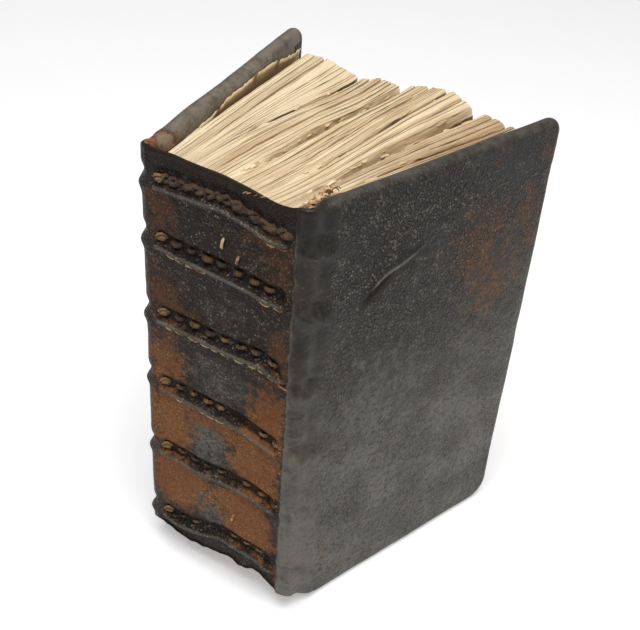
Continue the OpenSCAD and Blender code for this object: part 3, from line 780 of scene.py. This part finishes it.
# Painted glints: crisp light dots on the pebbles, kept off the rust.
cells = put(tree, "ShaderNodeTexVoronoi", {"Vector": sheet, "Scale": 1250.0}).outputs
glint_dots = product(tree, ramp(tree, cells["Distance"], 0.42, 0.2), ramp(tree, cells["Color"], 0.5, 0.7))
glint_dots = product(tree, glint_dots, ramp(tree, middling, 0.46, 0.58, 0.0, 0.8))
glint_dots = product(tree, glint_dots, ramp(tree, grain, given["Glint From"], given["Glint To"]))
glint_dots = product(tree, glint_dots, maths(tree, "SUBTRACT", 1.0, rust_at))
colour = mix_colour(tree, glint_dots, colour, HIDE_GLINT)
dark_head = ramp(tree, up, 0.1405, 0.1440, 0.0, product(tree, mottle_squared, 0.8))
colour = mix_colour(tree, dark_head, colour, CHANNEL_BLACK)
dusty = product(tree, dust, ramp(tree, middling, 0.3, 0.6, 0.4, 1.0))
colour = mix_colour(tree, dusty, colour, HIDE_DUST_AND_GLINT)

surface_height = weighted(tree, product(tree, creases, -1.6), middling, 1.2)
surface_height = weighted(tree, surface_height, small, 0.5)
surface_height = weighted(tree, surface_height, rust_at, -0.3)
roughness = weighted(tree, ramp(tree, middling, 0.3, 0.7, 0.28, 0.44), rust_at, 0.25)
roughness = weighted(tree, roughness, ramp(tree, height, 0.5, 1.2), -0.12)
put(tree, "NodeGroupOutput", {"Colour": colour, "Roughness": roughness, "Height": surface_height})


def calf_material(name, gloss, looks):
    calf, tree, surface = new_material(name)
    hide = put(tree, "ShaderNodeGroup", looks, node_tree=calf_group).outputs
    set_surface(tree, surface, hide["Colour"], hide["Roughness"], hide["Height"], HIDE_DEPTH)
    surface.inputs["Specular IOR Level"].default_value = gloss
    return calf


spine_calf = calf_material("spine_calf", 0.16, {
    "Dark": (0.015, 0.0095, 0.006, 1), "Brown": (0.052, 0.026, 0.013, 1),
    "Mottle": 1.0, "Rust Spread": 0.5, "Rustiest": 0.95, "Glint From": 0.3, "Glint To": 0.6,
})
cover_calf = calf_material("cover_calf", 0.28, {
    "Dark": HIDE_BLACK, "Brown": (0.036, 0.027, 0.019, 1),
    "Mottle": 0.72, "Rust Spread": 0.55, "Rustiest": 0.85, "Glint From": 0.55, "Glint To": 1.0,
})

spine_skin = add_piece(hide_sheet(-LAP - LAP_OVER, LAP + LAP_OVER, *SPINE_STEPS), "spine_skin", spine_calf)
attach(spine_skin, "book_block")
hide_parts("spine_leather")


def bend_line(side):
    """Ends of the stretch of hide that bends at a joint."""
    return [corner[side] + along(side, SPLAY[side]) * s * MM for s in (BEND_FROM, BEND_TO)]


for side, word in ((FRONT, "front"), (BACK, "back")):
    ends = sorted((side * (LAP + LAP_OVER), side * (fore_edge[side] + WRAP)))
    skin = add_piece(hide_sheet(*ends, *SKIN_STEPS[side]), f"{word}_skin", cover_calf)
    bend_from, bend_to = bend_line(side)
    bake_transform(skin)
    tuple(bend_from)
    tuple(bend_to)
    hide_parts(f"{word}_leather")

# Cords: six twisted hemp cords across the spine, that the gatherings are sewn on, each under the
# lip of its band. Their frayed slips go on over the joints and are pasted to the boards.
HEMP_DARK = (0.10, 0.058, 0.028, 1)
HEMP_PALE = (0.26, 0.17, 0.085, 1)
CORD_R = 0.9 * MM
CORD_SUNK = 1.0 * MM
CORD_HALF = 20
CORD_STEPS = 24

hemp, tree, surface = new_material("hemp_cord")
place = object_place(tree)
strands = put(
    tree, "ShaderNodeTexWave", {"Vector": place, "Scale": 420.0, "Distortion": 2.0, "Detail": 2.0},
    bands_direction="DIAGONAL",
).outputs["Fac"]
hairs = speckle(tree, place, 1400.0)
colour = mix_colour(tree, strands, HEMP_DARK, HEMP_PALE)
strand_height = weighted(tree, strands, hairs, 0.5)
set_surface(tree, surface, colour, ramp(tree, hairs, 0.3, 0.7, 0.8, 0.95), strand_height, 0.2 * MM)


def lay_cord(bm, path, radius, sides=6):
    """Round cord laid along a path of points, closed at both ends."""
    steps = len(path) - 1
    before = len(bm.verts)
    bmesh.ops.create_cone(bm, cap_ends=True, segments=sides, radius1=1, radius2=1, depth=1)
    ends = list(bm.verts)[before:]
    lengths = [
        edge for edge in dict.fromkeys(e for v in ends for e in v.link_edges)
        if abs(edge.verts[0].co.z - edge.verts[1].co.z) > 0.5
    ]
    bmesh.ops.subdivide_edges(bm, edges=lengths, cuts=steps - 1)
    for vert in list(bm.verts)[before:]:
        n = round((vert.co.z + 0.5) * steps)
        ahead = path[min(n + 1, steps)] - path[max(n - 1, 0)]
        side_step = ahead.to_track_quat("Z", "Y") @ Vector((vert.co.x, vert.co.y, 0))
        vert.co = path[n] + side_step * radius * (0.7 if n in (0, steps) else 1.0)


for n, band in enumerate(BANDS):
    cord_bm = bmesh.new()
    path = []
    for k in range(CORD_STEPS + 1):
        q = -CORD_HALF + 2 * CORD_HALF * k / CORD_STEPS
        point, out, _ = hide_frame(q)
        path.append(point - out * CORD_SUNK + Vector((0, 0, (curve_at(band, q) - 0.2) * MM)))
    lay_cord(cord_bm, path, CORD_R, 8)
    cord = add_piece(cord_bm, f"cord_{n + 1}", hemp)
    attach(cord, "book_block")
    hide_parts(f"band_cord_{n + 1}")
for word in ("front", "back"):
    frame["nodes"][f"{word}_slips"].material_slots[0].material = hemp

# Boards: slabs of rough brown pulp that stiffen the covers, their edges rubbed round. The hide is
# pasted over them, and the cords' slips are let into their outer faces.
BOARD_FROM, BOARD_TO = 6.6, 88.6
BOARD_FOOT, BOARD_TOP = 2.2, 147.4
BOARD_IN, BOARD_OUT = 4.0, 1.8
BOARD_CORNER_R = 5.5 * MM
BOARD_RUBBED = 0.8 * MM
PULP_DARK = (0.16, 0.10, 0.055, 1)
PULP_PALE = (0.34, 0.24, 0.14, 1)

pulp, tree, surface = new_material("pulp_board")
place = object_place(tree)
flecks = speckle(tree, place, 350.0, 6.0, 0.7)
colour = mix_colour(tree, ramp(tree, flecks, 0.35, 0.65), PULP_DARK, PULP_PALE)
set_surface(tree, surface, colour, ramp(tree, flecks, 0.3, 0.7, 0.85, 0.97), flecks, 0.2 * MM)


def on_cover(side, s, z, depth):
    """Point in a cover: along from the spine's corner, up, and in from its plain face, in millimetres."""
    return corner[side] + (along(side, SPLAY[side]) * s - outward(side) * depth + Vector((0, 0, z))) * MM


for side, word in ((FRONT, "front"), (BACK, "back")):
    board_bm = bmesh.new()
    bmesh.ops.create_cube(board_bm, size=1.0)
    for vert in board_bm.verts:
        s = BOARD_FROM if vert.co.x < 0 else BOARD_TO
        z = BOARD_FOOT if vert.co.z < 0 else BOARD_TOP
        vert.co = on_cover(side, s, z, BOARD_OUT if vert.co.y < 0 else BOARD_IN)
    round_over = {"affect": "EDGES", "profile": 0.5, "material": -1}
    corners = [e for e in board_bm.edges if e.calc_length() < 10 * MM]
    bmesh.ops.bevel(board_bm, geom=corners, offset=BOARD_CORNER_R, segments=5, **round_over)
    rims = [e for e in board_bm.edges if e.calc_face_angle(0) > 1.0]
    bmesh.ops.bevel(board_bm, geom=rims, offset=BOARD_RUBBED, segments=2, **round_over)
    bmesh.ops.recalc_face_normals(board_bm, faces=board_bm.faces)
    board = add_piece(board_bm, f"{word}_pulp_board", pulp, smooth=False)
    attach(board, f"{word}_cover")
    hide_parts(f"{word}_board")

# Pastedowns: a sheet of the same paper glued inside each cover, over the hide's turned-in edges.
# Its edges are torn and have lifted a little.
PASTE_HEAD = (
    (6, 144), (18, 144.6), (29.5, 145.2), (33.4, 145.7), (40.3, 147.0), (46.5, 146.7), (58.3, 147.0),
    (67.8, 146.2), (78, 144.2), (88, 143.4),
)
PASTE_FROM, PASTE_TO = 7.0, 86.2
PASTE_FOOT = 5.0
PASTE_DEPTH = {FRONT: 5.1, BACK: 5.0}
PASTE_CURL = {FRONT: 0.25, BACK: 0.45}
PASTE_T = 0.15 * MM
for side, word in ((FRONT, "front"), (BACK, "back")):
    paste_bm = bmesh.new()
    leaf_layer = paste_bm.verts.layers.float_vector.new("leaf")
    stain_and_shade_layer = paste_bm.verts.layers.float.new("stain_and_shade")
    bmesh.ops.create_grid(paste_bm, x_segments=70, y_segments=80, size=0.5)
    for vert in paste_bm.verts:
        a, b = vert.co.x + 0.5, vert.co.y + 0.5
        s = PASTE_FROM + (PASTE_TO - PASTE_FROM + 0.8 * noise.noise(Vector((b * 30, side, 0.5)))) * a
        torn = 0.7 * noise.noise(Vector((s / 2.2, side * 3.1, 0.0)))
        torn += 0.4 * noise.noise(Vector((s / 0.9, side, 4.0)))
        head = curve_at(PASTE_HEAD, s) + torn
        z = PASTE_FOOT + torn + (head - PASTE_FOOT - torn) * b
        near_edge = max(bell(s - 86, 4), bell(z - head, 3.5), bell(z - PASTE_FOOT, 4))
        depth = PASTE_DEPTH[side] + 0.3 * near_edge + 0.06 * noise.noise(Vector((s / 7, z / 7, side)))
        depth += PASTE_CURL[side] * bell(z - head, 1.3) * smooth_step(14, 40, s)
        depth -= 0.3 * (1 - smooth_step(7, 16, s))
        vert.co = on_cover(side, s, z, depth)
        # Away from its torn head edge the sheet is painted brown, partly stain and partly painted shade,
        # through its stain value and a depth that the paper darkens by.
        vert[leaf_layer] = (0.5 + side * s / 900, z / 150, 2.4 * MM * (1 - bell(z - head, 1.3)))
        vert[stain_and_shade_layer] = 1.0 - bell(z - head, 1.6)
    doubled = bmesh.ops.extrude_face_region(paste_bm, geom=paste_bm.faces[:], use_keep_orig=True)["geom"]
    glued = [part for part in doubled if isinstance(part, bmesh.types.BMVert)]
    bmesh.ops.translate(paste_bm, verts=glued, vec=outward(side) * PASTE_T)
    bmesh.ops.recalc_face_normals(paste_bm, faces=paste_bm.faces)
    pastedown = add_piece(paste_bm, f"{word}_paper_lining", paper)
    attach(pastedown, f"{word}_cover")
    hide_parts(f"{word}_pastedown")

# Stitches: heavy waxed thread, sewn later along the channel above each band to hold the hide down.
# Only short lengths come up between the holes, with a knot at the left end of each row.
THREAD_DARK = (0.15, 0.072, 0.03, 1)
THREAD_PALE = (0.36, 0.205, 0.085, 1)
THREAD_DIRT = (0.045, 0.024, 0.012, 1)
THREAD_HEAD = (0.055, 0.031, 0.018, 1)
THREAD_KNOT = (0.42, 0.26, 0.12, 1)

thread, tree, surface = new_material("waxed_thread")
place = object_place(tree)
twist = put(
    tree, "ShaderNodeTexWave", {"Vector": place, "Scale": 700.0, "Distortion": 3.0},
    bands_direction="DIAGONAL",
).outputs["Fac"]
dirt = speckle(tree, place, 420.0, 4.0)
colour = mix_colour(tree, twist, THREAD_DARK, THREAD_PALE)
colour = mix_colour(tree, ramp(tree, dirt, 0.42, 0.62), THREAD_DIRT, colour)
where = put(tree, "ShaderNodeSeparateXYZ", {0: place}).outputs
colour = mix_colour(tree, ramp(tree, where["Z"], 0.08, 0.135, 0.0, 0.75), colour, THREAD_HEAD)
colour = mix_colour(tree, ramp(tree, where["X"], -0.0235, -0.0255, 0.0, 0.5), colour, THREAD_KNOT)
set_surface(tree, surface, colour, ramp(tree, dirt, 0.3, 0.7, 0.5, 0.8), twist, 0.15 * MM)

STITCH_UP = 3.0
STITCH_PITCH = 5.0
STITCH_FROM, STITCH_TO = -19.4, 21.5
STITCH_HEAVY = (0.9, 1.2, 1.5, 1.7, 1.7, 1.8)
STITCH_ARCH = ((-1.0, -0.5), (-0.6, 0.2), (0.0, 0.45), (0.6, 0.2), (1.0, -0.5))
KNOT_TURNS = (0.6, 2.2, 3.9)
KNOT_R = 0.45 * MM
ROPE_R = 0.76 * MM
ROPE_STEPS = 55


def on_hide(q, z, lift):
    point, out, _ = hide_frame(q)
    return point + Vector((0, 0, z * MM)) + out * (relief(q, z) + lift) * MM


for n, band in enumerate(BANDS):
    rng = random.Random(40 + n)
    sewn_bm = bmesh.new()
    heavy = STITCH_HEAVY[n]
    q = STITCH_FROM
    while q < STITCH_TO:
        half = rng.uniform(1.25, 1.75)
        z = curve_at(band, q) + STITCH_UP + rng.uniform(-0.2, 0.2)
        slant = rng.uniform(-0.1, 0.35)
        above = z - curve_at(band, q)
        path = [
            on_hide(q + half * t, curve_at(band, q + half * t) + above + slant * t, lift * heavy)
            for t, lift in STITCH_ARCH
        ]
        if rng.random() < 0.8 or q == STITCH_FROM:
            lay_cord(sewn_bm, path, rng.uniform(0.36, 0.58) * heavy * MM)
        if q == STITCH_FROM:
            for turn in KNOT_TURNS:
                loop = []
                for k in range(5):
                    round_q, round_z = 1.3 * math.cos(turn + 0.9 * k), math.sin(turn + 0.9 * k)
                    loop.append(on_hide(q + round_q, z + 0.2 + round_z, 0.5 + 0.35 * math.sin(k)))
                lay_cord(sewn_bm, loop, KNOT_R)
        q += STITCH_PITCH * rng.uniform(0.9, 1.1)
    if n == len(BANDS) - 1:
        for shift, swing in ((2.4, 0.0), (3.6, math.pi)):
            rope = []
            for k in range(ROPE_STEPS + 1):
                q = -18.5 + 40.5 * k / ROPE_STEPS
                lay = 1.8 * q + swing + 1.6 * math.sin(0.4 * q)
                z = curve_at(band, q) + shift + 0.36 * math.sin(lay)
                rope.append(on_hide(q, z, 0.35 * math.cos(lay) - 0.15))
            lay_cord(sewn_bm, rope, ROPE_R)
    bmesh.ops.recalc_face_normals(sewn_bm, faces=sewn_bm.faces)
    sewn = add_piece(sewn_bm, f"sewing_{n + 1}", thread)
    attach(sewn, "book_block")
    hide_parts(f"stitches_{n + 1}")

# Torn head corners: at the back joint the hide's turn-in has torn away and shows the red flesh side
# and a scrap of lining; at the front joint the frayed ends of the head sewing stand up in the corner.
FLESH_DARK = (0.07, 0.03, 0.018, 1)
FLESH_RED = (0.33, 0.13, 0.065, 1)
FLESH_SCRAP = (0.21, 0.155, 0.095, 1)
TORN_T = 0.3 * MM

flesh, tree, surface = new_material("torn_flesh_side")
place = object_place(tree)
shreds = speckle(tree, place, 380.0, 6.0, 0.7)
scrap = attribute(tree, "scrap")
colour = mix_colour(tree, ramp(tree, shreds, 0.35, 0.65), FLESH_DARK, FLESH_RED)
colour = mix_colour(tree, ramp(tree, weighted(tree, scrap, shreds, 2.6), 1.75, 2.1), colour, FLESH_SCRAP)
set_surface(tree, surface, colour, ramp(tree, shreds, 0.3, 0.7, 0.7, 0.95), shreds, 0.5 * MM)

torn_bm = bmesh.new()
scrap_layer = torn_bm.verts.layers.float.new("scrap")
bmesh.ops.create_grid(torn_bm, x_segments=36, y_segments=18, size=0.5)
for vert in torn_bm.verts:
    a, b = vert.co.x + 0.5, vert.co.y + 0.5
    ragged = noise.noise(Vector((a * 6, b * 6, 3.0)))
    s = -1.5 + 13.5 * a + 0.8 * noise.noise(Vector((b * 7, 1.0, 0.0)))
    q = -(s + round_end[BACK] - shoulder_run[BACK])
    roll, head, _ = hide_edges(q)
    tear_from = 0.46 + 0.22 * noise.noise(Vector((a * 5, 2.0, 0.0))) + 0.3 * smooth_step(0.7, 1.0, a)
    turned = tear_from + (1.15 - tear_from) * b
    vert.co = hide_point(q, head - roll + turned * math.pi * roll, 0.28 + 0.2 * ragged)
    vert[scrap_layer] = bell(math.hypot((a - 0.62) / 0.30, (b - 0.55) / 0.5), 1.0)
bmesh.ops.solidify(torn_bm, geom=torn_bm.faces[:], thickness=TORN_T)
bmesh.ops.recalc_face_normals(torn_bm, faces=torn_bm.faces)
torn = add_piece(torn_bm, "torn_corner", flesh)
bend_from, bend_to = bend_line(BACK)
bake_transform(torn)
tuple(bend_from)
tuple(bend_to)

FRAY_RED = (0.27, 0.10, 0.04, 1)
FRAY_PALE = (0.76, 0.54, 0.28, 1)

frayed, tree, surface = new_material("frayed_hemp")
place = object_place(tree)
hairs = speckle(tree, place, 500.0)
colour = mix_colour(tree, ramp(tree, hairs, 0.38, 0.62), FRAY_RED, FRAY_PALE)
set_surface(tree, surface, colour, ramp(tree, hairs, 0.3, 0.7, 0.7, 0.9), hairs, 0.1 * MM)

FRAYED_COUNT = 34
STRAY_ENDS = ((2.5, -43.6, 0.4), (4.0, -43.2, -0.5), (5.5, -43.0, 0.1), (7.5, -42.6, -0.2))
WHIPPED = ((4, -17, -7), (4, 14, 21), (3, -18, 21), (2, -15, 2), (5, 15, 20))
LONE_STITCHES = ((6.0, 30.4, 3.4), (0.9, 130.3, 3.8), (5.8, 127.1, 2.6))
LONE_LIFTS = (-0.3, 0.35, 0.45, 0.35, -0.3)
rng = random.Random(11)
frayed_bm = bmesh.new()
for _ in range(FRAYED_COUNT):
    s = rng.uniform(1.5, 13.0)
    depth = 5.6 + 2.6 * smooth_step(2, 12, s) + rng.uniform(-0.5, 0.7)
    run, rise, lean = rng.uniform(0.8, 4.0), rng.uniform(0.6, 2.6), rng.uniform(-1.2, 0.8)
    path = [
        on_cover(FRONT, s + run * t, 146.2 + rise * math.sin(2.8 * t), depth + lean * t * t)
        for t in (0, 0.25, 0.5, 0.75, 1)
    ]
    lay_cord(frayed_bm, path, rng.uniform(0.15, 0.5) * MM, 5)
for x, y, turn in STRAY_ENDS:
    path = [
        Vector((x - 1.4 * t + turn * t * t, y - 2.4 * t, 147.2 + 4.2 * t - 3.2 * t * t)) * MM
        for t in (0, 0.3, 0.6, 0.9)
    ]
    lay_cord(frayed_bm, path, 0.13 * MM, 5)
for n, whip_from, whip_to in WHIPPED:
    q = whip_from
    while q < whip_to:
        run = rng.uniform(2.2, 3.6)
        path = [
            on_hide(q + run * t, curve_at(BANDS[n], q + run * t) - drop, lift)
            for t, drop, lift in ((0, 0.5, -0.3), (0.25, 1.1, 0.3), (0.7, 1.4, 0.3), (1, 1.2, -0.3))
        ]
        lay_cord(frayed_bm, path, 0.3 * MM, 5)
        q += run + rng.uniform(0.2, 1.6)
for q, z, length in LONE_STITCHES:
    path = [on_hide(q + 0.15 * k, z + length * (k / 4 - 0.5), lift) for k, lift in enumerate(LONE_LIFTS)]
    lay_cord(frayed_bm, path, 0.45 * MM)
bmesh.ops.recalc_face_normals(frayed_bm, faces=frayed_bm.faces)
frayed_ends = add_piece(frayed_bm, "frayed_ends", frayed)
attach(frayed_ends, "book_block")

# Floor and light: a white table under one broad soft lamp, in a room that is grey all round, with a
# small weak lamp low on the right that brings out the grain of the front cover.
FLOOR_HALF = 4.0
LAMP_AIM = Vector((0, 0, 0.07))

floor_material, tree, surface = new_material("white_table")
surface.inputs["Base Color"].default_value = (0.9, 0.9, 0.91, 1)
surface.inputs["Roughness"].default_value = 0.9
surface.inputs["Emission Strength"].default_value = 0.32
seen = put(tree, "ShaderNodeLightPath").outputs["Is Camera Ray"]
tree.links.new(seen, surface.inputs["Emission Color"])
floor_bm = bmesh.new()
bmesh.ops.create_grid(floor_bm, x_segments=1, y_segments=1, size=FLOOR_HALF)
floor = add_piece(floor_bm, "floor", floor_material)

world = bpy.data.worlds.new("grey_room")
bpy.context.scene.world = world
world.use_nodes = True
tree = world.node_tree
seen = put(tree, "ShaderNodeLightPath").outputs["Is Camera Ray"]
room = mix_colour(tree, seen, (0.3, 0.3, 0.3, 1), (0.95, 0.95, 0.95, 1))
tree.links.new(room, tree.nodes["Background"].inputs["Color"])

LAMPS = (("soft_lamp", (0.10, -0.20, 0.86), 0.5, 5.8), ("low_lamp", (0.66, 0.27, 0.30), 0.3, 0.6))
for name, lamp_place, width, energy in LAMPS:
    lamp_data = bpy.data.lights.new(name, "AREA")
    lamp_data.shape = "RECTANGLE"
    lamp_data.size, lamp_data.size_y = width, width
    lamp_data.energy = energy
    lamp = bpy.data.objects.new(name, lamp_data)
    facing = (LAMP_AIM - Vector(lamp_place)).to_track_quat("-Z", "Y")
    lamp.matrix_world = Matrix.Translation(lamp_place) @ facing.to_matrix().to_4x4()
    bpy.context.scene.collection.objects.link(lamp)
